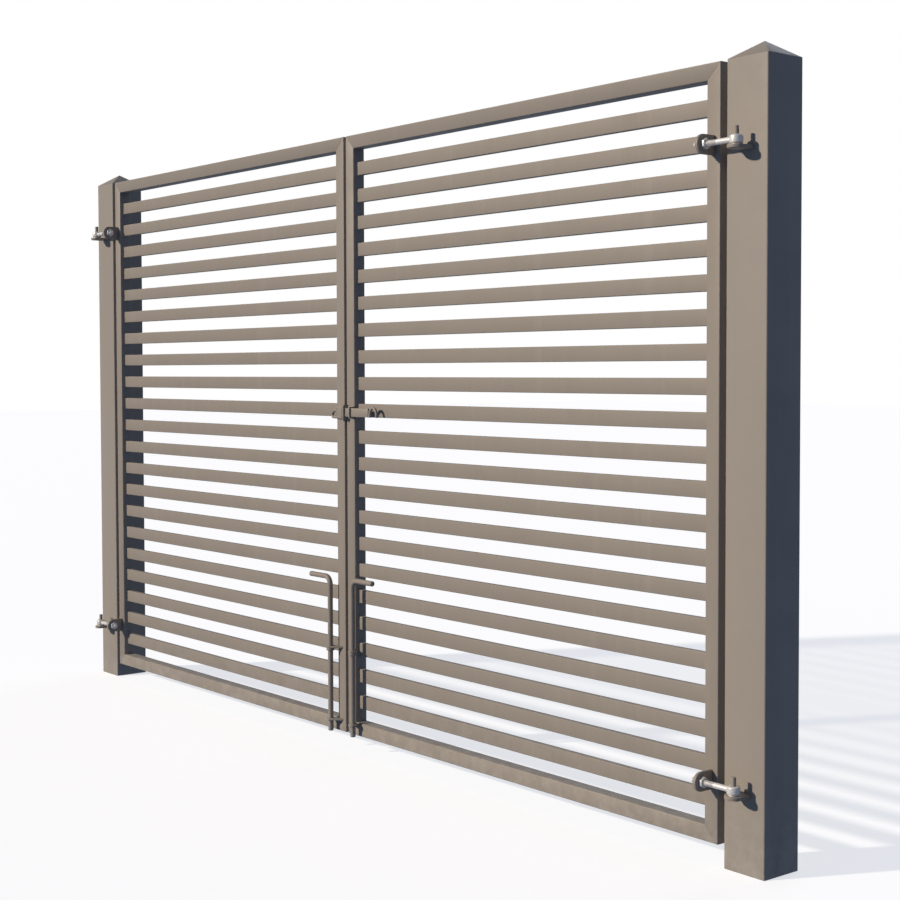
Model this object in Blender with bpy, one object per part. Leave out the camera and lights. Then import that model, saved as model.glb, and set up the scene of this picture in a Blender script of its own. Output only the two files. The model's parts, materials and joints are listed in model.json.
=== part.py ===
"""Double-leaf slatted steel driveway gate with its two posts, hinges, drop rods and latch.

Metres, +Z up. The gate's width lies along X, its front faces -Y, and the ground is z = 0.
The origin is under the middle of the gate, halfway between its frontmost and rearmost faces.
"""

import math

import bmesh
import bpy
from mathutils import Matrix, Vector

# Driving dimensions
OPENING = 3.0              # clear width between the two posts
POST_SIZE = 0.12
POST_WALL = 0.004
POST_HEIGHT = 1.85
CAP_RISE = 0.04            # height of the shallow pyramid on a post
CAP_SPIGOT = 0.03          # depth of the cap's skirt inside the post
CAP_SHEET = 0.003
LEAF_HEIGHT = 1.8
GROUND_CLEARANCE = 0.05
POST_GAP = 0.019           # between a leaf and its post
MIDDLE_GAP = 0.012         # between the two closed leaves
BAR = 0.04                 # square tube of the leaf's frame
BAR_WALL = 0.002
SLAT_COUNT = 21
SLAT_HEIGHT = 0.04
SLAT_THICKNESS = 0.016
SLAT_WALL = 0.0015
STRIP = 0.002              # end strip that a leaf's slats are welded to
HINGE_OFFSET = 0.036       # pin axis in front of the leaf's front face
LOWER_HINGE_INSET = 0.15   # lower hinge's height above the leaf's bottom
UPPER_HINGE_INSET = 0.189  # upper hinge's depth below the leaf's top
LUG_RADIUS = 0.023
LUG_THICKNESS = 0.008
PIN_RADIUS = 0.006
PIN_STANDS = 0.02          # pin above the top of the eye
BRACKET_RADIUS = 0.021     # round front of the bracket that carries the pin
BRACKET_THICKNESS = 0.008
WASHER_RADIUS = 0.0125
WASHER_HEIGHT = 0.0015
EYE_RADIUS = 0.0155
EYE_HEIGHT = 0.02
SHANK_RADIUS = 0.007
SHANK_TAIL = 0.024         # thread past the middle of the lug
NUT_FLATS = 0.023
NUT_HEIGHT = 0.009
ROD_RADIUS = 0.008
ROD_INSET = 0.058          # drop rod's axis from the middle of the gate
ROD_FORWARD = 0.02         # drop rod's axis in front of the leaf's front face
ROD_HANDLE_Z = 0.472       # handle's height above the leaf's bottom
ROD_HANDLE = 0.104
ROD_BEND = 0.024
GUIDE_HEIGHTS = {"lower": 0.036, "upper": 0.258}    # guides' heights above the leaf's bottom
GUIDE_THICKNESS = 0.006
GUIDE_NOSE = 0.0135        # radius of a guide's round front
GUIDE_NOSE_START = -2.2    # radians: the nose starts beside the inner edge
GUIDE_NOSE_SWEEP = 3.9
GUIDE_INNER = 0.014        # guide's two edges at the leaf's face, from the leaf's edge at the middle
GUIDE_OUTER = 0.039
RING_HEIGHT = 0.008        # stop ring on the drop rod
RING_WALL = 0.0045
LATCH_Z = 0.974            # latch's height above the leaf's bottom
LATCH_FORWARD = 0.009      # latch bolt's axis in front of the leaf's front face
BOLT_HEIGHT = 0.026
BOLT_THICKNESS = 0.008
BOLT_END = 0.131           # bolt's outer end, from the middle of the gate
BOLT_CHAMFER = 0.005
LATCH_PLATE = 0.003        # thickness of the plate that the slotted lugs stand on
LATCH_PLATE_HEIGHT = 0.038
LATCH_PLATE_INSET = 0.001  # plate in from both edges of the stile
SLOT_LUGS = ((0.002, 0.023), (0.033, 0.017))    # start, from the leaf's edge, and half height of each lug
SLOT_LUG_SINK = 0.0005     # a lug's foot sinks this far into the plate, so that they join
SLOT_LUG_REACH = 0.0185    # slotted lug's front edge in front of the leaf's front face
SLOT_LUG_CORNER = 0.009
SLOT_LUG_THICKNESS = 0.005
KEEPER_START = -0.018      # keeper's two ends, from the middle of the gate
KEEPER_END = 0.004
KEEPER_HALF = 0.021
KEEPER_REACH = 0.017
HOOP_WIRE = 0.0045         # radius of the bar that the pull hoops are bent from
HANDLE_HALF_WIDTH = 0.0165  # hoop that draws the bolt
HANDLE_RISE = 0.0225
HANDLE_LEG = 0.006
HANDLE_DROP = 0.0075       # where the hoop's curve starts, below the bolt's middle
PULL_LEFT = -0.0625        # the two legs of the fixed hoop on the left leaf
PULL_RIGHT = -0.0245
PULL_BASE_END = -0.0184    # end of its base bar, which lies on the meeting stile
PULL_DROP = 0.0155         # base bar below the bolt's middle
PULL_RISE = 0.015
PULL_BEND = 1.4 * HOOP_WIRE
GAP = 0.0003               # clearance between pieces that touch
ROUND_SIDES = 24

# Worked out from the dimensions above
LEAF_WIDTH = (OPENING - 2 * POST_GAP - MIDDLE_GAP) / 2
FRONT_REACH = HINGE_OFFSET + LUG_RADIUS
FRONT_Y = FRONT_REACH - (FRONT_REACH + POST_SIZE) / 2    # front face of the leaves and posts
POST_Y = FRONT_Y + POST_SIZE / 2
POST_X = (OPENING + POST_SIZE) / 2
PIN_Y = FRONT_Y - HINGE_OFFSET
LEAF_BOTTOM = GROUND_CLEARANCE
LEAF_TOP = GROUND_CLEARANCE + LEAF_HEIGHT
MEETING_X = MIDDLE_GAP / 2                               # leaf's edge at the middle
HINGE_EDGE_X = MEETING_X + LEAF_WIDTH                    # leaf's edge beside the post
LUG_X = HINGE_EDGE_X - BAR / 2
SLAT_PITCH = (LEAF_HEIGHT - 2 * BAR + SLAT_HEIGHT) / (SLAT_COUNT + 1)
SLAT_Y = FRONT_Y + BAR / 2
HINGE_HEIGHTS = {
    "lower": LEAF_BOTTOM + LOWER_HINGE_INSET,
    "upper": LEAF_TOP - UPPER_HINGE_INSET,
}
SIDES = {"left": -1, "right": 1}


def clear_scene():
    for obj in list(bpy.context.scene.objects):
        bpy.data.objects.remove(obj, do_unlink=True)


def make_material(name, colour, roughness, metallic):
    material = bpy.data.materials.new(name)
    material.use_nodes = True
    shader = material.node_tree.nodes["Principled BSDF"]
    shader.inputs["Base Color"].default_value = (*colour, 1.0)
    shader.inputs["Roughness"].default_value = roughness
    shader.inputs["Metallic"].default_value = metallic
    return material


def finish_object(name, bm, material, origin=(0, 0, 0), smooth=False):
    """Turns a bmesh in world space into an object whose origin is at the given point."""
    bmesh.ops.recalc_face_normals(bm, faces=bm.faces)
    bmesh.ops.translate(bm, verts=bm.verts, vec=-Vector(origin))
    mesh = bpy.data.meshes.new(name)
    bm.to_mesh(mesh)
    bm.free()
    if smooth:
        mesh.shade_smooth()
        mesh.set_sharp_from_angle(angle=math.radians(35))
    obj = bpy.data.objects.new(name, mesh)
    obj.location = origin
    obj.data.materials.append(material)
    bpy.context.scene.collection.objects.link(obj)
    return obj


def add_ring(bm, points):
    """A closed loop of vertices through the given points."""
    return [bm.verts.new(point) for point in points]


def ring_edges(bm, ring):
    return [bm.edges.new((vert, ring[(i + 1) % len(ring)])) for i, vert in enumerate(ring)]


def square_ring(half_u, half_v, place):
    """The four corners of a rectangle, each put in space by place(u, v)."""
    corners = ((-half_u, -half_v), (half_u, -half_v), (half_u, half_v), (-half_u, half_v))
    return [place(u, v) for u, v in corners]


def bridge(bm, first, second):
    """A band of four-sided faces between two rings with the same number of points."""
    for i in range(len(first)):
        j = (i + 1) % len(first)
        bm.faces.new((first[i], first[j], second[j], second[i]))


def make_tube(name, half_u, half_v, wall, start, end, material):
    """A rectangular tube, open at both ends. start(u, v) and end(u, v) place its two cuts."""
    bm = bmesh.new()
    rings = []
    for place in (start, end):
        outer = add_ring(bm, square_ring(half_u, half_v, place))
        inner = add_ring(bm, square_ring(half_u - wall, half_v - wall, place))
        rings.append((outer, inner))
    bridge(bm, rings[0][0], rings[1][0])
    bridge(bm, rings[0][1], rings[1][1])
    for outer, inner in rings:
        bridge(bm, outer, inner)
    return finish_object(name, bm, material)


def circle_points(centre, radius, sides, start=0.0, sweep=2 * math.pi):
    """Points on an arc, or on a whole circle without its repeated last point."""
    closed = abs(sweep - 2 * math.pi) < 1e-6
    steps = sides if closed else sides - 1
    return [
        Vector((
            centre[0] + radius * math.cos(start + sweep * i / steps),
            centre[1] + radius * math.sin(start + sweep * i / steps),
        ))
        for i in range(sides)
    ]


def hexagon(centre, flats):
    return circle_points(centre, flats / math.sqrt(3), 6, start=math.pi / 6)


def make_plate(outline, hole, low, high, axis):
    """A bmesh of a flat plate with one hole, from low to high along the given axis.

    The outline's two coordinates are the other two axes in X, Y, Z order.
    """
    bm = bmesh.new()

    def place(point, level):
        values = list(point)
        values.insert("XYZ".index(axis), level)
        return values

    edges = ring_edges(bm, add_ring(bm, [place(p, low) for p in outline]))
    if hole:
        edges += ring_edges(bm, add_ring(bm, [place(p, low) for p in hole]))
    made = bmesh.ops.triangle_fill(bm, use_beauty=True, use_dissolve=False, edges=edges)
    faces = [item for item in made["geom"] if isinstance(item, bmesh.types.BMFace)]
    grown = bmesh.ops.extrude_face_region(bm, geom=faces, use_keep_orig=True)
    moved = [item for item in grown["geom"] if isinstance(item, bmesh.types.BMVert)]
    shift = Vector(place((0, 0), high - low))
    bmesh.ops.translate(bm, verts=moved, vec=shift)
    return bm


def make_rod(name, points, radius, material, origin, resolution=3):
    """A round bar bent along the given world points."""
    curve = bpy.data.curves.new(name, "CURVE")
    curve.dimensions = "3D"
    curve.bevel_depth = radius
    curve.bevel_resolution = resolution
    curve.use_fill_caps = True
    spline = curve.splines.new("POLY")
    spline.points.add(len(points) - 1)
    for slot, point in zip(spline.points, points):
        slot.co = (*(Vector(point) - Vector(origin)), 1.0)
    curve.materials.append(material)
    obj = bpy.data.objects.new(name, curve)
    obj.location = origin
    bpy.context.scene.collection.objects.link(obj)
    return obj


def bend_points(corner, before, after, radius, steps=6):
    """Points round a right-angled bend at corner, coming along before and leaving along after."""
    centre = corner - before * radius + after * radius
    return [
        centre - after * radius * math.cos(angle) + before * radius * math.sin(angle)
        for angle in (math.pi / 2 * i / steps for i in range(steps + 1))
    ]


def join_solids(name, base, added):
    """Adds one closed object to another with a Boolean union that stays live."""
    union = base.modifiers.new("join", "BOOLEAN")
    union.operation = "UNION"
    union.solver = "EXACT"
    union.object = added
    added.name = name
    added.hide_render = True
    added.display_type = "WIRE"


def build_post(side, sign, paint):
    centre = Vector((sign * POST_X, POST_Y, 0))
    make_tube(
        f"{side}_post", POST_SIZE / 2, POST_SIZE / 2, POST_WALL,
        lambda u, v: centre + Vector((u, v, 0)),
        lambda u, v: centre + Vector((u, v, POST_HEIGHT)),
        paint,
    )


def build_post_cap(side, sign, paint):
    """A hollow pyramid that rests on the post's rim, with a skirt inside the post."""
    centre = Vector((sign * POST_X, POST_Y, 0))
    half = POST_SIZE / 2
    skirt = half - POST_WALL - GAP
    seat = POST_HEIGHT + GAP
    bm = bmesh.new()
    levels = [(half, seat), (skirt, seat), (skirt, seat - CAP_SPIGOT),
              (skirt - CAP_SHEET, seat - CAP_SPIGOT), (skirt - CAP_SHEET, seat)]
    rings = []
    for size, z in levels:
        rings.append(add_ring(bm, square_ring(size, size, lambda u, v: centre + Vector((u, v, z)))))
    for first, second in zip(rings, rings[1:]):
        bridge(bm, first, second)
    peak = POST_HEIGHT + CAP_RISE
    for ring, apex_z in ((rings[0], peak), (rings[-1], peak - CAP_SHEET)):
        apex = bm.verts.new(centre + Vector((0, 0, apex_z)))
        for i in range(4):
            bm.faces.new((ring[i], ring[(i + 1) % 4], apex))
    finish_object(f"{side}_post_cap", bm, paint)


def build_gudgeon(side, sign, place, z, paint):
    """A round-nosed bracket that stands out of the post, with the pin that carries the eye."""
    centre = (sign * POST_X, PIN_Y)
    top = z - EYE_HEIGHT / 2 - WASHER_HEIGHT - 2 * GAP
    rear = FRONT_Y - GAP
    nose = circle_points(centre, BRACKET_RADIUS, 17, start=math.pi, sweep=math.pi)
    outline = nose + [Vector((centre[0] + BRACKET_RADIUS, rear)), Vector((centre[0] - BRACKET_RADIUS, rear))]
    bm = make_plate(outline, None, top - BRACKET_THICKNESS, top, "Z")
    bracket = finish_object(f"{side}_{place}_gudgeon", bm, paint, (*centre, top), smooth=True)
    pin_top = z + EYE_HEIGHT / 2 + PIN_STANDS
    pin_foot = top - BRACKET_THICKNESS / 2
    bm = bmesh.new()
    bmesh.ops.create_cone(
        bm, cap_ends=True, segments=ROUND_SIDES, radius1=PIN_RADIUS, radius2=PIN_RADIUS,
        depth=pin_top - pin_foot, matrix=Matrix.Translation((*centre, (pin_top + pin_foot) / 2)),
    )
    pin = finish_object("pin", bm, paint, (*centre, top), smooth=True)
    join_solids(f"{side}_{place}_pin_joined", bracket, pin)


def build_hinge_washer(side, sign, place, z, zinc):
    """A thrust washer between the gudgeon's bend and the eye."""
    centre = (sign * POST_X, PIN_Y)
    top = z - EYE_HEIGHT / 2 - GAP
    outline = circle_points(centre, WASHER_RADIUS, ROUND_SIDES)
    hole = circle_points(centre, PIN_RADIUS + 2 * GAP, ROUND_SIDES)
    bm = make_plate(outline, hole, top - WASHER_HEIGHT, top, "Z")
    finish_object(f"{side}_{place}_hinge_washer", bm, zinc, (*centre, top), smooth=True)


def build_eye_bolt(side, sign, place, z, zinc):
    """A ring that turns on the pin, with a threaded shank that runs into the leaf's lug."""
    centre = (sign * POST_X, PIN_Y)
    origin = Vector((*centre, z))
    outline = circle_points(centre, EYE_RADIUS, ROUND_SIDES)
    hole = circle_points(centre, PIN_RADIUS + 2 * GAP, ROUND_SIDES)
    bm = make_plate(outline, hole, z - EYE_HEIGHT / 2, z + EYE_HEIGHT / 2, "Z")
    eye = finish_object(f"{side}_{place}_eye_bolt", bm, zinc, origin, smooth=True)
    near = POST_X - (EYE_RADIUS + PIN_RADIUS) / 2
    far = LUG_X - SHANK_TAIL
    bm = bmesh.new()
    bmesh.ops.create_cone(
        bm, cap_ends=True, segments=16, radius1=SHANK_RADIUS, radius2=SHANK_RADIUS, depth=near - far,
        matrix=Matrix.Translation((sign * (near + far) / 2, PIN_Y, z)) @ Matrix.Rotation(math.pi / 2, 4, "Y"),
    )
    shank = finish_object("shank", bm, zinc, origin, smooth=True)
    join_solids(f"{side}_{place}_shank_joined", eye, shank)


def build_hinge_lug(side, sign, place, z, paint):
    """A round-nosed plate that stands out of the hinge stile, with a hole for the shank."""
    nose = circle_points((PIN_Y, z), LUG_RADIUS, 17, start=math.pi / 2, sweep=math.pi)
    rear = FRONT_Y - GAP
    outline = nose + [Vector((rear, z - LUG_RADIUS)), Vector((rear, z + LUG_RADIUS))]
    hole = circle_points((PIN_Y, z), SHANK_RADIUS + 2 * GAP, ROUND_SIDES)
    middle = sign * LUG_X
    bm = make_plate(outline, hole, middle - LUG_THICKNESS / 2, middle + LUG_THICKNESS / 2, "X")
    finish_object(f"{side}_{place}_hinge_lug", bm, paint, (middle, PIN_Y, z), smooth=True)


def build_hinge_nuts(side, sign, place, z, zinc):
    """Two nuts that clamp the shank to the lug, one on each side of it."""
    for name, way in (("outer", 1), ("inner", -1)):
        near = LUG_X + way * (LUG_THICKNESS / 2 + GAP)
        far = near + way * NUT_HEIGHT
        low, high = sorted((sign * near, sign * far))
        outline = hexagon((PIN_Y, z), NUT_FLATS)
        hole = circle_points((PIN_Y, z), SHANK_RADIUS + 2 * GAP, ROUND_SIDES)
        bm = make_plate(outline, hole, low, high, "X")
        finish_object(f"{side}_{place}_{name}_nut", bm, zinc, (low, PIN_Y, z), smooth=True)


def build_leaf_frame(side, sign, paint):
    """Two stiles and two rails of square tube, mitred at the corners."""
    half = BAR / 2
    cut = GAP / 2
    stiles = {"hinge_stile": (HINGE_EDGE_X - half, 1), "meeting_stile": (MEETING_X + half, -1)}
    for name, (x, out) in stiles.items():
        def cut_at(level, up, x=x, out=out):
            # The outer wall of a stile is its long side, and the mitre falls away from it.
            return lambda u, v: Vector((
                sign * (x + u), SLAT_Y + v, level - up * (half - out * u + cut),
            ))
        make_tube(f"{side}_{name}", half, half, BAR_WALL, cut_at(LEAF_BOTTOM, -1), cut_at(LEAF_TOP, 1), paint)
    rails = {"bottom_rail": (LEAF_BOTTOM + half, -1), "top_rail": (LEAF_TOP - half, 1)}
    for name, (z, out) in rails.items():
        def cut_at_end(edge, way, z=z, out=out):
            return lambda u, v: Vector((
                sign * (edge - way * (half - out * u + cut)), SLAT_Y + v, z + u,
            ))
        make_tube(
            f"{side}_{name}", half, half, BAR_WALL,
            cut_at_end(MEETING_X, -1), cut_at_end(HINGE_EDGE_X, 1), paint,
        )


def build_slat_panel(side, sign, paint):
    """The leaf's slats, hollow and open at their ends, joined by a thin strip at each end."""
    x_lines = [MEETING_X + BAR + GAP, MEETING_X + BAR + GAP + STRIP,
               HINGE_EDGE_X - BAR - GAP - STRIP, HINGE_EDGE_X - BAR - GAP]
    z_lines = []
    for number in range(SLAT_COUNT):
        bottom = LEAF_BOTTOM + BAR + SLAT_PITCH * (number + 1) - SLAT_HEIGHT
        z_lines += [bottom, bottom + SLAT_HEIGHT]
    faces_y = (SLAT_Y - SLAT_THICKNESS / 2, SLAT_Y + SLAT_THICKNESS / 2)
    bm = bmesh.new()
    grid = {
        (i, j, k): bm.verts.new((sign * x, y, z))
        for i, x in enumerate(x_lines) for j, z in enumerate(z_lines) for k, y in enumerate(faces_y)
    }
    last = len(z_lines) - 1

    def quad(*corners):
        bm.faces.new([grid[corner] for corner in corners])

    for j in range(last):
        is_slat = j % 2 == 0
        for i in range(3):
            if i == 1 and not is_slat:
                continue
            for k in (0, 1):
                quad((i, j, k), (i + 1, j, k), (i + 1, j + 1, k), (i, j + 1, k))
            # The slat's top and bottom face the gaps, and the strips run on past them.
            if i == 1 or j == 0:
                quad((i, j, 0), (i + 1, j, 0), (i + 1, j, 1), (i, j, 1))
            if i == 1 or j == last - 1:
                quad((i, j + 1, 0), (i + 1, j + 1, 0), (i + 1, j + 1, 1), (i, j + 1, 1))
        if is_slat:
            add_hollow(bm, grid, x_lines, z_lines, faces_y, j, sign)
            continue
        for i in range(4):
            quad((i, j, 0), (i, j + 1, 0), (i, j + 1, 1), (i, j, 1))
    finish_object(f"{side}_slat_panel", bm, paint)


def add_hollow(bm, grid, x_lines, z_lines, faces_y, j, sign):
    """The inside of one slat's tube, and the rim that its open ends leave in the strips."""
    rings = []
    for i in (0, 3):
        low_z = z_lines[j] + SLAT_WALL
        high_z = z_lines[j + 1] - SLAT_WALL
        low_y = faces_y[0] + SLAT_WALL
        high_y = faces_y[1] - SLAT_WALL
        inner = [bm.verts.new((sign * x_lines[i], y, z))
                 for y, z in ((low_y, low_z), (high_y, low_z), (high_y, high_z), (low_y, high_z))]
        outer = [grid[key] for key in ((i, j, 0), (i, j, 1), (i, j + 1, 1), (i, j + 1, 0))]
        for n in range(4):
            m = (n + 1) % 4
            bm.faces.new((outer[n], outer[m], inner[m], inner[n]))
        rings.append(inner)
    for n in range(4):
        m = (n + 1) % 4
        bm.faces.new((rings[0][n], rings[0][m], rings[1][m], rings[1][n]))


def build_drop_rod(side, sign, paint):
    """A round bar with its top bent over into a handle, which points away from the middle."""
    up = Vector((0, 0, 1))
    out = Vector((sign, 0, 0))
    foot = Vector((sign * ROD_INSET, FRONT_Y - ROD_FORWARD, LEAF_BOTTOM))
    corner = foot + up * ROD_HANDLE_Z
    points = [foot] + bend_points(corner, up, out, ROD_BEND, steps=8)
    points.append(corner + out * ROD_HANDLE)
    make_rod(f"{side}_drop_rod", points, ROD_RADIUS, paint, foot, resolution=4)


def build_stop_ring(side, sign, paint):
    """A stop ring on the rod, just under the upper guide: it ends the rod's upward travel."""
    centre = (sign * ROD_INSET, FRONT_Y - ROD_FORWARD)
    top = LEAF_BOTTOM + GUIDE_HEIGHTS["upper"] - GUIDE_THICKNESS / 2 - GAP
    outline = circle_points(centre, ROD_RADIUS + RING_WALL, ROUND_SIDES)
    hole = circle_points(centre, ROD_RADIUS + 2 * GAP, ROUND_SIDES)
    bm = make_plate(outline, hole, top - RING_HEIGHT, top, "Z")
    finish_object(f"{side}_rod_stop_ring", bm, paint, (*centre, top), smooth=True)


def build_rod_guide(side, sign, place, height, paint):
    """A flat eye plate on the leaf's front face, which the drop rod runs through."""
    centre = (sign * ROD_INSET, FRONT_Y - ROD_FORWARD)
    rear = FRONT_Y - GAP
    inner_edge = MEETING_X + GUIDE_INNER
    outer_edge = MEETING_X + GUIDE_OUTER
    # The nose goes round the rod's front from the side of one edge to the side of the other.
    nose = circle_points((ROD_INSET, centre[1]), GUIDE_NOSE, 15, GUIDE_NOSE_START, GUIDE_NOSE_SWEEP)
    outline = [Vector((outer_edge, rear)), Vector((inner_edge, rear))] + nose
    outline = [Vector((sign * p.x, p.y)) for p in outline]
    hole = circle_points(centre, ROD_RADIUS + 2 * GAP, ROUND_SIDES)
    level = LEAF_BOTTOM + height
    half = GUIDE_THICKNESS / 2
    bm = make_plate(outline, hole, level - half, level + half, "Z")
    finish_object(f"{side}_{place}_rod_guide", bm, paint, (*centre, level), smooth=True)


def slot_lug_bmesh(low, high, half, reach, rear):
    """A round-cornered plate across the bolt's path from x = low to x = high, with the bolt's slot in it."""
    latch_z = LEAF_BOTTOM + LATCH_Z
    corner = SLOT_LUG_CORNER / 2
    front = FRONT_Y - reach
    outline = circle_points((front + corner, latch_z + half - corner), corner, 5, math.pi / 2, math.pi / 2)
    outline += circle_points((front + corner, latch_z - half + corner), corner, 5, math.pi, math.pi / 2)
    outline += [Vector((rear, latch_z - half)), Vector((rear, latch_z + half))]
    y = FRONT_Y - LATCH_FORWARD
    slot_y = BOLT_THICKNESS / 2 + 2 * GAP
    slot_z = BOLT_HEIGHT / 2 + 2 * GAP
    hole = [Vector((y - slot_y, latch_z - slot_z)), Vector((y + slot_y, latch_z - slot_z)),
            Vector((y + slot_y, latch_z + slot_z)), Vector((y - slot_y, latch_z + slot_z))]
    return make_plate(outline, hole, low, high, "X")


def build_latch_guide(paint):
    """A plate on the right meeting stile with two slotted lugs that the bolt slides in."""
    bm = bmesh.new()
    bmesh.ops.create_cube(bm, size=1.0)
    width = BAR - 2 * LATCH_PLATE_INSET
    bmesh.ops.scale(bm, verts=bm.verts, vec=(width, LATCH_PLATE, LATCH_PLATE_HEIGHT))
    middle = MEETING_X + BAR / 2
    centre = Vector((middle, FRONT_Y - GAP - LATCH_PLATE / 2, LEAF_BOTTOM + LATCH_Z))
    bmesh.ops.translate(bm, verts=bm.verts, vec=centre)
    base = finish_object("latch_guide", bm, paint, centre)
    rear = FRONT_Y - LATCH_PLATE + SLOT_LUG_SINK
    for number, (inset, half) in enumerate(SLOT_LUGS, start=1):
        start = MEETING_X + inset
        bm = slot_lug_bmesh(start, start + SLOT_LUG_THICKNESS, half, SLOT_LUG_REACH, rear)
        lug = finish_object("lug", bm, paint, centre)
        join_solids(f"latch_guide_lug_{number}_joined", base, lug)


def build_latch_keeper(paint):
    """A sleeve on the left meeting stile that reaches across the gap and takes the bolt's tip."""
    bm = slot_lug_bmesh(KEEPER_START, KEEPER_END, KEEPER_HALF, KEEPER_REACH, FRONT_Y - GAP)
    finish_object("latch_keeper", bm, paint, (KEEPER_START, FRONT_Y, LEAF_BOTTOM + LATCH_Z))


def build_latch_bolt(paint):
    """A flat sliding bolt, drawn back so that its tip is level with the right leaf's edge."""
    latch_z = LEAF_BOTTOM + LATCH_Z
    y = FRONT_Y - LATCH_FORWARD
    half = BOLT_HEIGHT / 2
    chamfer = BOLT_CHAMFER
    corners = [(MEETING_X, -half + chamfer), (MEETING_X + chamfer, -half), (BOLT_END, -half),
               (BOLT_END, half), (MEETING_X + chamfer, half), (MEETING_X, half - chamfer)]
    outline = [Vector((x, latch_z + rise)) for x, rise in corners]
    bm = make_plate(outline, None, y - BOLT_THICKNESS / 2, y + BOLT_THICKNESS / 2, "Y")
    finish_object("latch_bolt", bm, paint, (MEETING_X, y, latch_z))


def arch_points(centre, half_width, rise, steps=14):
    """An upright half ellipse in the plane of the gate, from its left foot to its right one."""
    return [
        Vector((centre.x - half_width * math.cos(a), centre.y, centre.z + rise * math.sin(a)))
        for a in (math.pi * i / steps for i in range(steps + 1))
    ]


def build_latch_handle(paint):
    """The hoop that draws the bolt, standing at the bolt's outer end."""
    leg = Vector((0, 0, -HANDLE_LEG))
    middle = BOLT_END + GAP + HOOP_WIRE + HANDLE_HALF_WIDTH
    centre = Vector((middle, FRONT_Y - LATCH_FORWARD, LEAF_BOTTOM + LATCH_Z - HANDLE_DROP))
    arch = arch_points(centre, HANDLE_HALF_WIDTH, HANDLE_RISE)
    make_rod("latch_handle", [arch[0] + leg] + arch + [arch[-1] + leg], HOOP_WIRE, paint, centre)


def build_pull_hoop(paint):
    """The fixed hoop on the left leaf: a base bar on the meeting stile, bent up and over into an arch."""
    y = FRONT_Y - GAP - HOOP_WIRE
    base_z = LEAF_BOTTOM + LATCH_Z - PULL_DROP
    up = Vector((0, 0, 1))
    left = Vector((-1, 0, 0))
    corner = Vector((PULL_LEFT, y, base_z))
    centre = Vector(((PULL_LEFT + PULL_RIGHT) / 2, y, base_z + PULL_BEND))
    arch = arch_points(centre, (PULL_RIGHT - PULL_LEFT) / 2, PULL_RISE)
    turn = bend_points(corner, left, up, PULL_BEND, steps=4)
    points = [Vector((PULL_BASE_END, y, base_z))] + turn[:-1] + arch
    # The arch's last leg stops just above the base bar.
    points[-1] = Vector((PULL_RIGHT, y, base_z + HOOP_WIRE + 2 * GAP))
    make_rod("left_pull_hoop", points, HOOP_WIRE, paint, centre)


def main():
    clear_scene()
    paint = make_material("taupe_powder_coat", (0.33, 0.29, 0.25), 0.5, 0.0)
    zinc = make_material("zinc_plate", (0.78, 0.78, 0.77), 0.32, 1.0)
    for side, sign in SIDES.items():
        build_post(side, sign, paint)
        build_post_cap(side, sign, paint)
        build_leaf_frame(side, sign, paint)
        build_slat_panel(side, sign, paint)
        for place, z in HINGE_HEIGHTS.items():
            build_gudgeon(side, sign, place, z, paint)
            build_hinge_washer(side, sign, place, z, zinc)
            build_eye_bolt(side, sign, place, z, zinc)
            build_hinge_lug(side, sign, place, z, paint)
            build_hinge_nuts(side, sign, place, z, zinc)
        build_drop_rod(side, sign, paint)
        build_stop_ring(side, sign, paint)
        for place, height in GUIDE_HEIGHTS.items():
            build_rod_guide(side, sign, place, height, paint)
    build_latch_guide(paint)
    build_latch_keeper(paint)
    build_latch_bolt(paint)
    build_latch_handle(paint)
    build_pull_hoop(paint)


main()
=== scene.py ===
import json
import math

import bmesh
import bpy
from mathutils import Matrix, Vector


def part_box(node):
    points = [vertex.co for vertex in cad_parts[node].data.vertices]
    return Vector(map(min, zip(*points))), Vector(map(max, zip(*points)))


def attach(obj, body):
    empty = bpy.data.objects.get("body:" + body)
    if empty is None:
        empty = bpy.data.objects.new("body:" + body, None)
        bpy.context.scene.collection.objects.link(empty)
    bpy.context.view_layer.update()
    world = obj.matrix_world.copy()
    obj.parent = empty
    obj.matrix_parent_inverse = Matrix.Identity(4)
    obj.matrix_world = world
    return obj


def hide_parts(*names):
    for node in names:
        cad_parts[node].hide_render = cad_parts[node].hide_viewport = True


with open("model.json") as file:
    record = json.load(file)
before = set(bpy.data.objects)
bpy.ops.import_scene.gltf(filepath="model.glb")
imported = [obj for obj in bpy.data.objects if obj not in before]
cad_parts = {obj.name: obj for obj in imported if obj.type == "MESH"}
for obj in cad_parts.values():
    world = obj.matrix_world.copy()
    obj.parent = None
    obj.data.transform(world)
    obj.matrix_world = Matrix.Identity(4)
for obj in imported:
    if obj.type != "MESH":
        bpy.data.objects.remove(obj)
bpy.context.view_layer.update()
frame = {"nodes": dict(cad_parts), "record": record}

bodyOf = {node: body for body, nodes in frame["record"]["behaviour"]["bodies"].items() for node in nodes}
sides = {"left": -1, "right": 1}
print("frame loaded,", len(bodyOf), "nodes")

meshing = {
    "sharpAngle": 30,              # degrees: a sharper edge than this gets rounded
    "smoothAngle": 32,             # degrees: a sharper edge than this is shaded as an edge
    "flatAngle": 1,                # degrees: faces closer than this count as one flat face
    "mergeDistance": 0.00002,
    "spinMergeDistance": 0.000002,
    "cutDistance": 0.00001,
    "spinSteps": 48,
}


def vertsIn(geom):
    return [item for item in geom if isinstance(item, bmesh.types.BMVert)]


def edgesIn(geom):
    return [item for item in geom if isinstance(item, bmesh.types.BMEdge)]


def roundEdges(bm, edges, width, segments=3):
    bmesh.ops.bevel(
        bm, geom=edges, offset=width, offset_type="OFFSET", affect="EDGES",
        segments=segments, profile=0.5, material=-1, clamp_overlap=True,
    )


def sharpEdges(bm, degrees=meshing["sharpAngle"]):
    return [e for e in bm.edges if e.is_manifold and e.calc_face_angle(0) > math.radians(degrees)]


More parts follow.
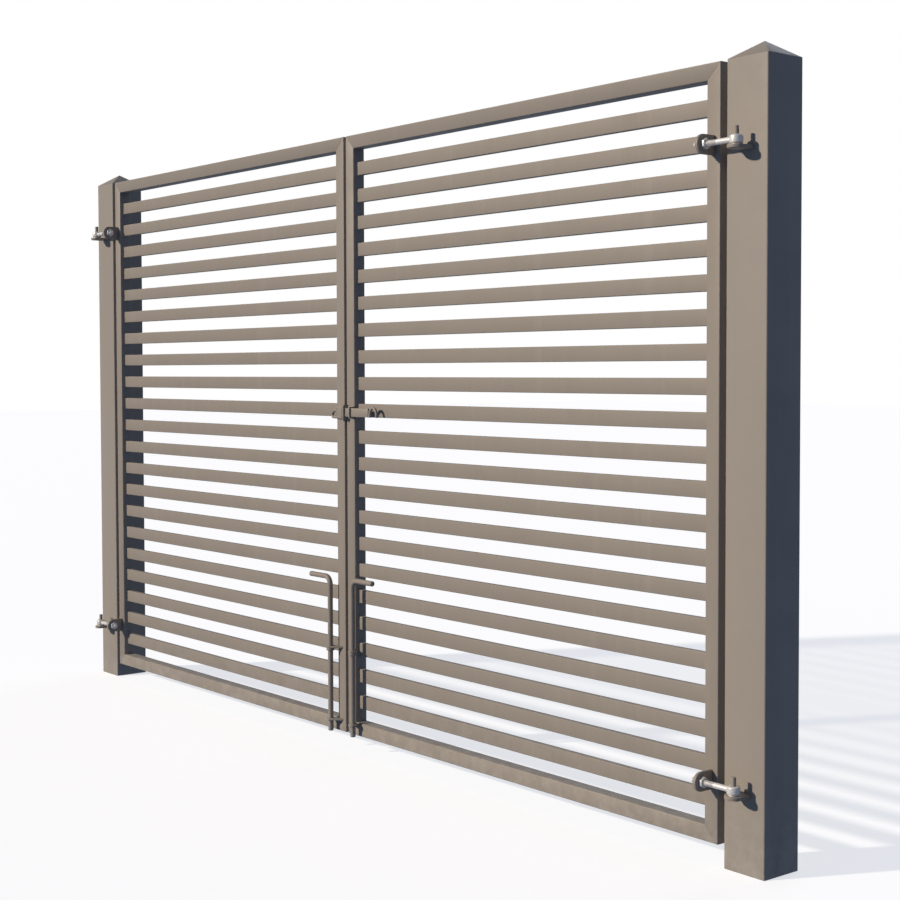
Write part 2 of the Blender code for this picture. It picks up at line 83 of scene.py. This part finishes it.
def boxBetween(low, high):
    bm = bmesh.new()
    bmesh.ops.create_cube(bm, size=1)
    bmesh.ops.scale(bm, vec=high - low, verts=bm.verts)
    bmesh.ops.translate(bm, vec=(low + high) / 2, verts=bm.verts)
    return bm


def edgesAlong(bm, axis):
    # edges that run along X (axis 0) or Z (axis 2)
    found = []
    for edge in bm.edges:
        run = edge.verts[1].co - edge.verts[0].co
        if abs(run[axis]) > 0.999 * run.length:
            found.append(edge)
    return found


def extrudeRing(bm, ring, place):
    # grows an open ring of edges by one band, then moves the new ring
    grown = bmesh.ops.extrude_edge_only(bm, edges=ring)["geom"]
    verts = set(vertsIn(grown))
    bmesh.ops.transform(bm, matrix=place, verts=list(verts), space=Matrix.Identity(4))
    return [e for e in edgesIn(grown) if e.verts[0] in verts and e.verts[1] in verts]


def capHoles(bm):
    rims = [e for e in bm.edges if e.is_boundary]
    bmesh.ops.holes_fill(bm, edges=rims, sides=0)
    bmesh.ops.recalc_face_normals(bm, faces=bm.faces)


def scaleAbout(centre, factors):
    grow = Matrix.Diagonal((*factors, 1))
    return Matrix.Translation(centre) @ grow @ Matrix.Translation(-centre)


def addMesh(bm, other):
    # puts a second bmesh into the first one
    spare = bpy.data.meshes.new("spare")
    other.to_mesh(spare)
    other.free()
    bm.from_mesh(spare)
    bpy.data.meshes.remove(spare)


def placesAlong(path):
    # a place for a ring at each point of a path, turned as little as possible from one to the next
    runs = [(b - a).normalized() for a, b in zip(path, path[1:])]
    tangents = [runs[0]] + [(a + b).normalized() for a, b in zip(runs, runs[1:])] + [runs[-1]]
    turn = tangents[0].to_track_quat("Z", "Y")
    places = []
    for i, point in enumerate(path):
        if i:
            turn = tangents[i - 1].rotation_difference(tangents[i]) @ turn
        places.append(Matrix.Translation(point) @ turn.to_matrix().to_4x4())
    return places


def sweptBar(path, radius, around=28, chamfer=0.0012, endScale=0.8):
    # a round bar along a path of points, with a chamfer at both of its ends
    places = placesAlong(path)
    slim = Matrix.Diagonal((endScale, endScale, 1, 1))
    first, last = places[0], places[-1]
    places[0:1] = [first @ slim, first @ Matrix.Translation((0, 0, chamfer))]
    places[-1:] = [last @ Matrix.Translation((0, 0, -chamfer)), last @ slim]
    bm = bmesh.new()
    bmesh.ops.create_circle(bm, segments=around, radius=radius, matrix=places[0])
    ring = bm.edges[:]
    for before, after in zip(places, places[1:]):
        ring = extrudeRing(bm, ring, after @ before.inverted())
    capHoles(bm)
    return bm


def bend(corner, before, after, radius, steps):
    # points round a square bend, coming along before and leaving along after
    centre = corner - before * radius + after * radius
    angles = [math.pi / 2 * i / steps for i in range(steps + 1)]
    return [centre - after * radius * math.cos(a) + before * radius * math.sin(a) for a in angles]


def turned(profile, place):
    # a closed profile of (radius, height) points turned round the Z axis, then put in its place
    bm = bmesh.new()
    verts = [bm.verts.new((radius, 0, height)) for radius, height in profile]
    edges = [bm.edges.new(pair) for pair in zip(verts, verts[1:] + verts[:1])]
    bmesh.ops.spin(
        bm, geom=verts + edges, cent=(0, 0, 0), axis=(0, 0, 1), angle=2 * math.pi,
        steps=meshing["spinSteps"], use_merge=True,
    )
    bmesh.ops.remove_doubles(bm, verts=bm.verts, dist=meshing["spinMergeDistance"])
    bmesh.ops.recalc_face_normals(bm, faces=bm.faces)
    bmesh.ops.transform(bm, matrix=place, verts=bm.verts)
    return bm


def softened(node, width, segments=2):
    # the frame's own shape of a small piece, with its sharp edges rounded off
    bm = bmesh.new()
    bm.from_mesh(frame["nodes"][node].data)
    bmesh.ops.remove_doubles(bm, verts=bm.verts, dist=meshing["mergeDistance"])
    flat = math.radians(meshing["flatAngle"])
    bmesh.ops.dissolve_limit(bm, angle_limit=flat, verts=bm.verts, edges=bm.edges)
    roundEdges(bm, sharpEdges(bm), width, segments)
    return bm


def replaceNode(bm, node, name, finish):
    # a finished mesh as a piece that moves with the node's body and takes the node's place
    mesh = bpy.data.meshes.new(name)
    bm.to_mesh(mesh)
    bm.free()
    mesh.materials.append(finish)
    mesh.shade_smooth()
    mesh.set_sharp_from_angle(angle=math.radians(meshing["smoothAngle"]))
    piece = bpy.data.objects.new(name, mesh)
    bpy.context.scene.collection.objects.link(piece)
    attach(piece, bodyOf[node])
    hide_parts(node)


def addNode(tree, kind, **settings):
    node = tree.nodes.new(kind)
    for name, value in settings.items():
        setattr(node, name, value)
    return node


def noise(tree, place, scale, detail, roughness):
    node = addNode(tree, "ShaderNodeTexNoise")
    node.inputs["Scale"].default_value = scale
    node.inputs["Detail"].default_value = detail
    node.inputs["Roughness"].default_value = roughness
    tree.links.new(place, node.inputs["Vector"])
    return node.outputs["Fac"]


def spread(tree, value, fromLow, fromHigh, toLow=0.0, toHigh=1.0):
    node = addNode(tree, "ShaderNodeMapRange", clamp=True)
    numbers = {"From Min": fromLow, "From Max": fromHigh, "To Min": toLow, "To Max": toHigh}
    for name, number in numbers.items():
        node.inputs[name].default_value = number
    tree.links.new(value, node.inputs["Value"])
    return node.outputs["Result"]


def times(tree, first, second):
    node = addNode(tree, "ShaderNodeMath", operation="MULTIPLY")
    tree.links.new(first, node.inputs[0])
    tree.links.new(second, node.inputs[1])
    return node.outputs["Value"]


def blendColour(tree, amount, under, over):
    node = addNode(tree, "ShaderNodeMix", data_type="RGBA")
    tree.links.new(amount, node.inputs["Factor"])
    for socket, colour in ((node.inputs["A"], under), (node.inputs["B"], over)):
        if isinstance(colour, tuple):
            socket.default_value = (*colour, 1)
        else:
            tree.links.new(colour, socket)
    return node.outputs["Result"]


def stretched(tree, place, scales):
    node = addNode(tree, "ShaderNodeMapping")
    node.inputs["Scale"].default_value = scales
    tree.links.new(place, node.inputs["Vector"])
    return node.outputs["Vector"]


# a pattern is its scale, detail and roughness; a range is from, to and what they become
powderCoat = {
    "colour": (0.325, 0.283, 0.238),
    "deepColour": (0.3, 0.262, 0.221),
    "dustColour": (0.46, 0.42, 0.36),
    "edgeColour": (0.42, 0.38, 0.33),
    "specular": 0.35,
    "mottle": (7, 4, 0.6), "mottleRange": (0.35, 0.68),
    "roughRange": (0.3, 0.7, 0.4, 0.58),
    "rainStretch": (34, 34, 1.1), "rain": (1, 3, 0.5), "rainRange": (0.56, 0.74, 0, 0.12),
    "dustHeight": 0.3,                           # splashes reach this high above the ground
    "patches": (26, 6, 0.7), "patchRange": (0.42, 0.7),
    "settledRange": (0.75, 1, 0, 0.3),           # by how much the surface faces up
    "wornRange": (0.53, 0.6, 0, 0.35),           # by how sharp the edge is
    "grain": (620, 2, 0.55), "grainStrength": 0.35, "grainDepth": 0.00012,    # orange peel
}

zincPlate = {
    "colour": (0.88, 0.86, 0.82),
    "dullColour": (0.75, 0.73, 0.7),
    "stainColour": (0.56, 0.5, 0.41),
    "metallic": 0.3,
    "cloud": (140, 4, 0.6), "cloudRange": (0.35, 0.7),
    "roughRange": (0.3, 0.7, 0.34, 0.5),
    "stain": (60, 6, 0.75), "stainRange": (0.6, 0.78, 0, 0.5),
    "grain": (900, 2, 0.5), "grainStrength": 0.3, "grainDepth": 0.00006,
}


def startFinish(name):
    finish = bpy.data.materials.new(name)
    finish.use_nodes = True
    tree = finish.node_tree
    shader = tree.nodes["Principled BSDF"]
    place = addNode(tree, "ShaderNodeTexCoord").outputs["Object"]
    return finish, tree, shader, place


def addGrain(tree, shader, place, look):
    bump = addNode(tree, "ShaderNodeBump")
    bump.inputs["Strength"].default_value = look["grainStrength"]
    bump.inputs["Distance"].default_value = look["grainDepth"]
    tree.links.new(noise(tree, place, *look["grain"]), bump.inputs["Height"])
    tree.links.new(bump.outputs["Normal"], shader.inputs["Normal"])


def makePowderCoat(name):
    look = powderCoat
    finish, tree, shader, place = startFinish(name)
    mottle = noise(tree, place, *look["mottle"])
    deep = spread(tree, mottle, *look["mottleRange"])
    colour = blendColour(tree, deep, look["colour"], look["deepColour"])
    # faint runs left by rain
    rain = noise(tree, stretched(tree, place, look["rainStretch"]), *look["rain"])
    colour = blendColour(tree, spread(tree, rain, *look["rainRange"]), colour, look["dustColour"])
    # dust splashed up from the ground, thinning out with height
    axes = addNode(tree, "ShaderNodeSeparateXYZ")
    tree.links.new(place, axes.inputs["Vector"])
    low = spread(tree, axes.outputs["Z"], 0, look["dustHeight"], 1, 0)
    patches = spread(tree, noise(tree, place, *look["patches"]), *look["patchRange"])
    splashed = times(tree, times(tree, low, low), patches)
    colour = blendColour(tree, splashed, colour, look["dustColour"])
    # dust that settles on what faces up
    surface = addNode(tree, "ShaderNodeNewGeometry")
    facing = addNode(tree, "ShaderNodeSeparateXYZ")
    tree.links.new(surface.outputs["Normal"], facing.inputs["Vector"])
    settled = times(tree, spread(tree, facing.outputs["Z"], *look["settledRange"]), patches)
    colour = blendColour(tree, settled, colour, look["dustColour"])
    # the coat is thin on outer edges
    worn = spread(tree, surface.outputs["Pointiness"], *look["wornRange"])
    colour = blendColour(tree, worn, colour, look["edgeColour"])
    tree.links.new(colour, shader.inputs["Base Color"])
    tree.links.new(spread(tree, mottle, *look["roughRange"]), shader.inputs["Roughness"])
    shader.inputs["Specular IOR Level"].default_value = look["specular"]
    addGrain(tree, shader, place, look)
    return finish


def makeZincPlate(name):
    look = zincPlate
    finish, tree, shader, place = startFinish(name)
    cloud = noise(tree, place, *look["cloud"])
    dull = spread(tree, cloud, *look["cloudRange"])
    colour = blendColour(tree, dull, look["colour"], look["dullColour"])
    stain = spread(tree, noise(tree, place, *look["stain"]), *look["stainRange"])
    colour = blendColour(tree, stain, colour, look["stainColour"])
    tree.links.new(colour, shader.inputs["Base Color"])
    tree.links.new(spread(tree, cloud, *look["roughRange"]), shader.inputs["Roughness"])
    shader.inputs["Metallic"].default_value = look["metallic"]
    addGrain(tree, shader, place, look)
    return finish


coat = makePowderCoat("powder_coat_taupe")
zinc = makeZincPlate("zinc_plate_bright")
print("finishes made")


post = {"edgeRadius": 0.004, "edgeSteps": 5, "wall": 0.004, "capEdge": 0.0014, "capSteps": 3}


def makePost(side):
    node = f"{side}_post"
    bm = boxBetween(*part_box(node))
    roundEdges(bm, edgesAlong(bm, 2), post["edgeRadius"], post["edgeSteps"])
    ends = [f for f in bm.faces if abs(f.normal.z) > 0.9]
    bmesh.ops.delete(bm, geom=ends, context="FACES_ONLY")
    bmesh.ops.recalc_face_normals(bm, faces=bm.faces)
    bmesh.ops.solidify(bm, geom=bm.faces, thickness=post["wall"])
    replaceNode(bm, node, f"{side}_post_tube", coat)


def makeCap(side):
    node = f"{side}_post_cap"
    bm = softened(node, post["capEdge"], post["capSteps"])
    replaceNode(bm, node, f"{side}_post_cap_pressed", coat)


for side in sides:
    makePost(side)
    makeCap(side)
print("posts made")

leafBar = {
    "edgeRadius": 0.0026, "edgeSteps": 4,
    "mitreGap": 0.00015,           # half of the seam between two bars
    "mitreEdge": 0.0004, "mitreSteps": 2,
    "mitreAngle": 40,              # degrees: the rim of a mitre is sharper than this
    "cornerReach": 0.001,          # a corner this close to a bar is one of the bar's own
}


def leafEdges(side):
    # x of the leaf's edges at its hinges and at the middle, and z of its bottom and top
    hingeStile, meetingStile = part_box(f"{side}_hinge_stile"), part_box(f"{side}_meeting_stile")
    outer, inner = (1, 0) if side == "right" else (0, 1)
    return (hingeStile[outer].x, meetingStile[inner].x), (meetingStile[0].z, meetingStile[1].z)


def makeBar(side, name):
    # a square tube cut at 45 degrees at both of its ends
    node = f"{side}_{name}"
    low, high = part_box(node)
    upright = name.endswith("stile")
    along, across = (2, 0) if upright else (0, 2)
    bm = boxBetween(low, high)
    roundEdges(bm, edgesAlong(bm, along), leafBar["edgeRadius"], leafBar["edgeSteps"])
    edgesX, edgesZ = leafEdges(side)
    reach = leafBar["cornerReach"]
    for cornerX in edgesX:
        for cornerZ in edgesZ:
            corner = Vector((cornerX, 0, cornerZ))
            if not low[across] - reach < corner[across] < high[across] + reach:
                continue
            inX = math.copysign(1, sum(edgesX) / 2 - cornerX)
            inZ = math.copysign(1, sum(edgesZ) / 2 - cornerZ)
            away = Vector((inX, 0, -inZ)) if upright else Vector((-inX, 0, inZ))
            away.normalize()
            bmesh.ops.bisect_plane(
                bm, geom=bm.verts[:] + bm.edges[:] + bm.faces[:],
                plane_co=corner - away * leafBar["mitreGap"], plane_no=away,
                clear_outer=True, dist=meshing["cutDistance"],
            )
    capHoles(bm)
    rims = sharpEdges(bm, leafBar["mitreAngle"])
    roundEdges(bm, rims, leafBar["mitreEdge"], leafBar["mitreSteps"])
    replaceNode(bm, node, f"{node}_tube", coat)


for side in sides:
    for name in ("hinge_stile", "meeting_stile", "top_rail", "bottom_rail"):
        makeBar(side, name)
print("leaf frames made")

slat = {
    "count": 21,
    "height": 0.04,
    "cornerRadius": 0.0022, "cornerSteps": 4,
    "weldReach": 0.0026,           # fillet weld round both ends of each slat
    "weldHollow": 0.62,            # from 0.5 for a flat weld to 1 for a hollow one
    "weldSteps": 4,
    "weldHold": 1.02,              # a last ring just past the weld keeps the slat's flats flat
}


def weldRings():
    # how far along from the end, and how much wider than the slat, each ring of the weld is
    reach, hollow, steps = slat["weldReach"], slat["weldHollow"], slat["weldSteps"]
    rings = []
    for i in range(steps + 1):
        angle = math.pi / 2 * i / steps
        narrowing = hollow * math.sin(angle) + (1 - hollow) * (1 - math.cos(angle))
        rings.append((reach * math.sin(angle), reach * (1 - narrowing)))
    return rings + [(reach * slat["weldHold"], 0)]


def makeSlat(side, number, low, high):
    # the slat's rounded outline at one end, grown ring by ring to the other end
    depth, height = high.y - low.y, high.z - low.z
    middle = Vector((low.x, (low.y + high.y) / 2, (low.z + high.z) / 2))
    bm = bmesh.new()
    bmesh.ops.create_grid(bm, x_segments=1, y_segments=1, size=0.5)
    turn = Matrix.Rotation(math.pi / 2, 4, "Y")
    size = Matrix.Diagonal((1, depth, height, 1))
    bmesh.ops.transform(bm, matrix=Matrix.Translation(middle) @ size @ turn, verts=bm.verts)
    bmesh.ops.bevel(
        bm, geom=bm.verts[:], offset=slat["cornerRadius"], offset_type="OFFSET", affect="VERTICES",
        segments=slat["cornerSteps"], profile=0.5, material=-1, clamp_overlap=True,
    )
    bmesh.ops.delete(bm, geom=bm.faces[:], context="FACES_ONLY")
    weld = weldRings()
    stops = [(low.x + along, wide) for along, wide in weld]
    stops += [(high.x - along, wide) for along, wide in reversed(weld)]

    def placeOf(x, wide):
        grow = scaleAbout(middle, (1, 1 + 2 * wide / depth, 1 + 2 * wide / height))
        return Matrix.Translation((x - low.x, 0, 0)) @ grow

    ring = bm.edges[:]
    bmesh.ops.transform(bm, matrix=placeOf(*stops[0]), verts=bm.verts)
    for before, after in zip(stops, stops[1:]):
        ring = extrudeRing(bm, ring, placeOf(*after) @ placeOf(*before).inverted())
    capHoles(bm)
    replaceNode(bm, f"{side}_slat_panel", f"{side}_slat_{number:02d}", coat)


def makeSlats(side):
    low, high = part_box(f"{side}_slat_panel")
    pitch = (high.z - low.z - slat["height"]) / (slat["count"] - 1)
    for number in range(slat["count"]):
        bottom = low.z + pitch * number
        top = bottom + slat["height"]
        makeSlat(side, number + 1, Vector((low.x, low.y, bottom)), Vector((high.x, high.y, top)))


for side in sides:
    makeSlats(side)
print("slats made")

hinge = {
    "lugEdge": 0.0011,
    "nutEdge": 0.0008,
    "washerEdge": 0.0005,
    "bracketEdge": 0.0012,
    "boreRadius": 0.0066,
    "boreEdge": 0.0006, "boreSteps": 2,
    "eyeRadius": 0.0155,
    "eyeEdge": 0.0042, "eyeSteps": 4,
    "eyeAngle": 40,                # degrees: the eye's edges are sharper than this
    "boreAngle": 60,
    "shankRadius": 0.007,
    "shankStart": 0.6,             # where the shank starts inside the eye, in eye radii
}

thread = {
    "length": 0.066,
    "pitch": 0.002,
    "depth": 0.0011,
    "sink": 0.0002,                # the ridge's foot sits this deep in the core
    "foot": 0.48, "crest": 0.07,   # half widths of the ridge, in pitches
    "steps": 20,
}


def makeThread(radius):
    # a ridge wound round the Z axis, one turn for each pitch
    pitch = thread["pitch"]
    turns = int(thread["length"] / pitch) - 1
    foot, crest = pitch * thread["foot"], pitch * thread["crest"]
    root = radius - thread["depth"] - thread["sink"]
    bm = bmesh.new()
    profile = [(root, -foot), (radius, -crest), (radius, crest), (root, foot)]
    face = bm.faces.new([bm.verts.new((x, 0, z)) for x, z in profile])
    bmesh.ops.spin(
        bm, geom=[face], cent=(0, 0, 0), axis=(0, 0, 1), dvec=(0, 0, pitch / thread["steps"]),
        angle=2 * math.pi * turns, steps=thread["steps"] * turns, use_merge=False,
    )
    bmesh.ops.recalc_face_normals(bm, faces=bm.faces)
    return bm


def makeEye(centre, halfHeight):
    bore, eye = hinge["boreRadius"], hinge["eyeRadius"]
    profile = [(bore, -halfHeight), (eye, -halfHeight), (eye, halfHeight), (bore, halfHeight)]
    bm = turned(profile, Matrix.Translation(centre))
    edges = sharpEdges(bm, hinge["eyeAngle"])
    outer = [e for e in edges if (e.verts[0].co - centre).xy.length > (bore + eye) / 2]
    roundEdges(bm, outer, hinge["eyeEdge"], hinge["eyeSteps"])
    roundEdges(bm, sharpEdges(bm, hinge["boreAngle"]), hinge["boreEdge"], hinge["boreSteps"])
    return bm


def makeEyeBolt(side, place):
    node = f"{side}_{place}_eye_bolt"
    sign = sides[side]
    low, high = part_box(node)
    centre = (low + high) / 2
    centre.x = high.x - hinge["eyeRadius"] if sign > 0 else low.x + hinge["eyeRadius"]
    bm = makeEye(centre, (high.z - low.z) / 2)
    tip = low.x if sign > 0 else high.x
    radius = hinge["shankRadius"]

    def at(x):
        return Vector((x, centre.y, centre.z))

    start = centre.x - sign * hinge["eyeRadius"] * hinge["shankStart"]
    threadStart = tip + sign * thread["length"]
    addMesh(bm, sweptBar([at(start), at(threadStart)], radius))
    addMesh(bm, sweptBar([at(threadStart), at(tip)], radius - thread["depth"]))
    ridge = makeThread(radius)
    along = Matrix.Rotation(sign * math.pi / 2, 4, "Y")
    begin = at(tip + sign * thread["pitch"])
    bmesh.ops.transform(ridge, matrix=Matrix.Translation(begin) @ along, verts=ridge.verts)
    addMesh(bm, ridge)
    replaceNode(bm, node, f"{side}_{place}_eye_bolt_forged", zinc)


def makeHinge(side, place):
    node = f"{side}_{place}_gudgeon"
    replaceNode(softened(node, hinge["bracketEdge"]), node, f"{side}_{place}_hinge_pin", coat)
    makeEyeBolt(side, place)
    smallPieces = {
        "hinge_lug": (hinge["lugEdge"], coat),
        "hinge_washer": (hinge["washerEdge"], zinc),
        "inner_nut": (hinge["nutEdge"], zinc),
        "outer_nut": (hinge["nutEdge"], zinc),
    }
    for kind, (width, finish) in smallPieces.items():
        node = f"{side}_{place}_{kind}"
        replaceNode(softened(node, width), node, f"{node}_edged", finish)


for side in sides:
    for place in ("upper", "lower"):
        makeHinge(side, place)
print("hinges made")

dropRod = {
    "bend": 0.024, "bendSteps": 12,
    "chamfer": 0.002,
    "around": 32,
    "smallEdge": 0.0008,           # edges of the stop ring and the guides
}


def makeDropRod(side):
    node = f"{side}_drop_rod"
    sign = sides[side]
    low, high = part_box(node)
    radius = (high.y - low.y) / 2
    axisX = low.x + radius if sign > 0 else high.x - radius
    y = (low.y + high.y) / 2
    tip = high.x if sign > 0 else low.x
    up, out = Vector((0, 0, 1)), Vector((sign, 0, 0))
    corner = Vector((axisX, y, high.z - radius))
    path = [Vector((axisX, y, low.z))] + bend(corner, up, out, dropRod["bend"], dropRod["bendSteps"])
    path.append(Vector((tip, y, corner.z)))
    bm = sweptBar(path, radius, dropRod["around"], dropRod["chamfer"])
    replaceNode(bm, node, f"{side}_drop_rod_bar", coat)
    for kind in ("rod_stop_ring", "upper_rod_guide", "lower_rod_guide"):
        small = f"{side}_{kind}"
        replaceNode(softened(small, dropRod["smallEdge"]), small, f"{small}_edged", coat)


for side in sides:
    makeDropRod(side)
print("drop rods made")

latch = {
    "plateEdge": 0.0008,
    "boltEdge": 0.0012,
    "wire": 0.0045,                # radius of the bar that both hoops are bent from
    "around": 20,
    "hoopSteps": 28,
    "handleLeg": 0.006,
    "pullBend": 0.0063, "pullBendSteps": 6,
    "pullLegInset": 0.0016,        # far leg in from the end of the base bar
    "pullLegGap": 0.0006,          # far leg above the base bar
}


def archPoints(left, right, base, y, rise):
    middle, half = (left + right) / 2, (right - left) / 2
    angles = [math.pi * i / latch["hoopSteps"] for i in range(latch["hoopSteps"] + 1)]
    return [Vector((middle - half * math.cos(a), y, base + rise * math.sin(a))) for a in angles]


def makeHandle():
    low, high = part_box("latch_handle")
    wire = latch["wire"]
    y = (low.y + high.y) / 2
    base = low.z + latch["handleLeg"]
    leg = Vector((0, 0, -latch["handleLeg"]))
    arch = archPoints(low.x + wire, high.x - wire, base, y, high.z - wire - base)
    path = [arch[0] + leg] + arch + [arch[-1] + leg]
    replaceNode(sweptBar(path, wire, latch["around"]), "latch_handle", "latch_handle_hoop", coat)


def makePullHoop():
    # a base bar on the stile that is bent up and over into an arch
    low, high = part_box("left_pull_hoop")
    wire, bendRadius = latch["wire"], latch["pullBend"]
    y = (low.y + high.y) / 2
    base = low.z + wire
    right = high.x - latch["pullLegInset"] - wire
    up, left = Vector((0, 0, 1)), Vector((-1, 0, 0))
    corner = Vector((low.x + wire, y, base))
    archBase = base + bendRadius
    arch = archPoints(corner.x, right, archBase, y, high.z - wire - archBase)
    turn = bend(corner, left, up, bendRadius, latch["pullBendSteps"])
    path = [Vector((high.x, y, base))] + turn[:-1] + arch
    path[-1] = Vector((right, y, base + wire + latch["pullLegGap"]))
    bm = sweptBar(path, wire, latch["around"])
    replaceNode(bm, "left_pull_hoop", "left_pull_hoop_bar", coat)


makeHandle()
makePullHoop()
for node, edge in (("latch_guide", "plateEdge"), ("latch_keeper", "plateEdge"), ("latch_bolt", "boltEdge")):
    replaceNode(softened(node, latch[edge]), node, f"{node}_edged", coat)
print("latch made")

view = {
    "place": (3.91914, -2.79218, 1.14832),
    "yaw": 0.8913, "pitch": -0.03844, "roll": -0.00254,
    "sensor": 36,
    "lens": 63.469,
    "shiftY": -0.02034,
}


def addCamera():
    camera = bpy.data.cameras.new("camera")
    camera.sensor_width = view["sensor"]
    camera.lens = view["lens"]
    camera.shift_y = view["shiftY"]
    holder = bpy.data.objects.new("camera", camera)
    turn = Matrix.Rotation(view["yaw"], 4, "Z") @ Matrix.Rotation(math.pi / 2 + view["pitch"], 4, "X")
    turn = turn @ Matrix.Rotation(view["roll"], 4, "Z")
    holder.matrix_world = Matrix.Translation(view["place"]) @ turn
    bpy.context.scene.collection.objects.link(holder)
    bpy.context.scene.camera = holder


studio = {
    "floorSize": 80,
    "floorColour": (0.55, 0.55, 0.56),
    "floorRoughness": 0.9,
    "floorGlow": 0.66,
    "skyColour": (0.094, 0.132, 0.22),
    "shineColour": (0.24, 0.28, 0.36),           # the sky as glossy surfaces see it
    "backdrop": (1.0, 1.0, 1.0),
}

# suns: way of travel, strength, colour and size in degrees
suns = {
    "sun": ((0.40, 0.82, -0.40), 3.06, (1.0, 0.88, 0.725), 2.5),
    "fill": ((0.30, -0.85, -0.45), 0.4, (0.92, 0.96, 1.0), 40),
}


def addSun(name, travel, strength, colour, size):
    lamp = bpy.data.lights.new(name, "SUN")
    lamp.energy = strength
    lamp.color = colour
    lamp.angle = math.radians(size)
    holder = bpy.data.objects.new(name, lamp)
    holder.rotation_euler = Vector(travel).to_track_quat("-Z", "Y").to_euler()
    bpy.context.scene.collection.objects.link(holder)


def addFloor():
    bm = bmesh.new()
    bmesh.ops.create_grid(bm, x_segments=1, y_segments=1, size=studio["floorSize"] / 2)
    mesh = bpy.data.meshes.new("floor")
    bm.to_mesh(mesh)
    bm.free()
    finish = bpy.data.materials.new("floor_pale")
    finish.use_nodes = True
    shader = finish.node_tree.nodes["Principled BSDF"]
    shader.inputs["Base Color"].default_value = (*studio["floorColour"], 1)
    shader.inputs["Roughness"].default_value = studio["floorRoughness"]
    shader.inputs["Emission Color"].default_value = (1, 1, 1, 1)
    shader.inputs["Emission Strength"].default_value = studio["floorGlow"]
    mesh.materials.append(finish)
    floor = bpy.data.objects.new("floor", mesh)
    bpy.context.scene.collection.objects.link(floor)
    floor.visible_diffuse = False
    floor.visible_glossy = False


def addSky():
    world = bpy.data.worlds.new("studio")
    bpy.context.scene.world = world
    world.use_nodes = True
    tree = world.node_tree
    rays = addNode(tree, "ShaderNodeLightPath")
    shine = blendColour(tree, rays.outputs["Is Glossy Ray"], studio["skyColour"], studio["shineColour"])
    seen = blendColour(tree, rays.outputs["Is Camera Ray"], shine, studio["backdrop"])
    tree.links.new(seen, tree.nodes["Background"].inputs["Color"])


addCamera()
addFloor()
addSky()
for name, values in suns.items():
    addSun(name, *values)
bpy.context.scene.view_settings.view_transform = "Standard"
print("camera and light set")
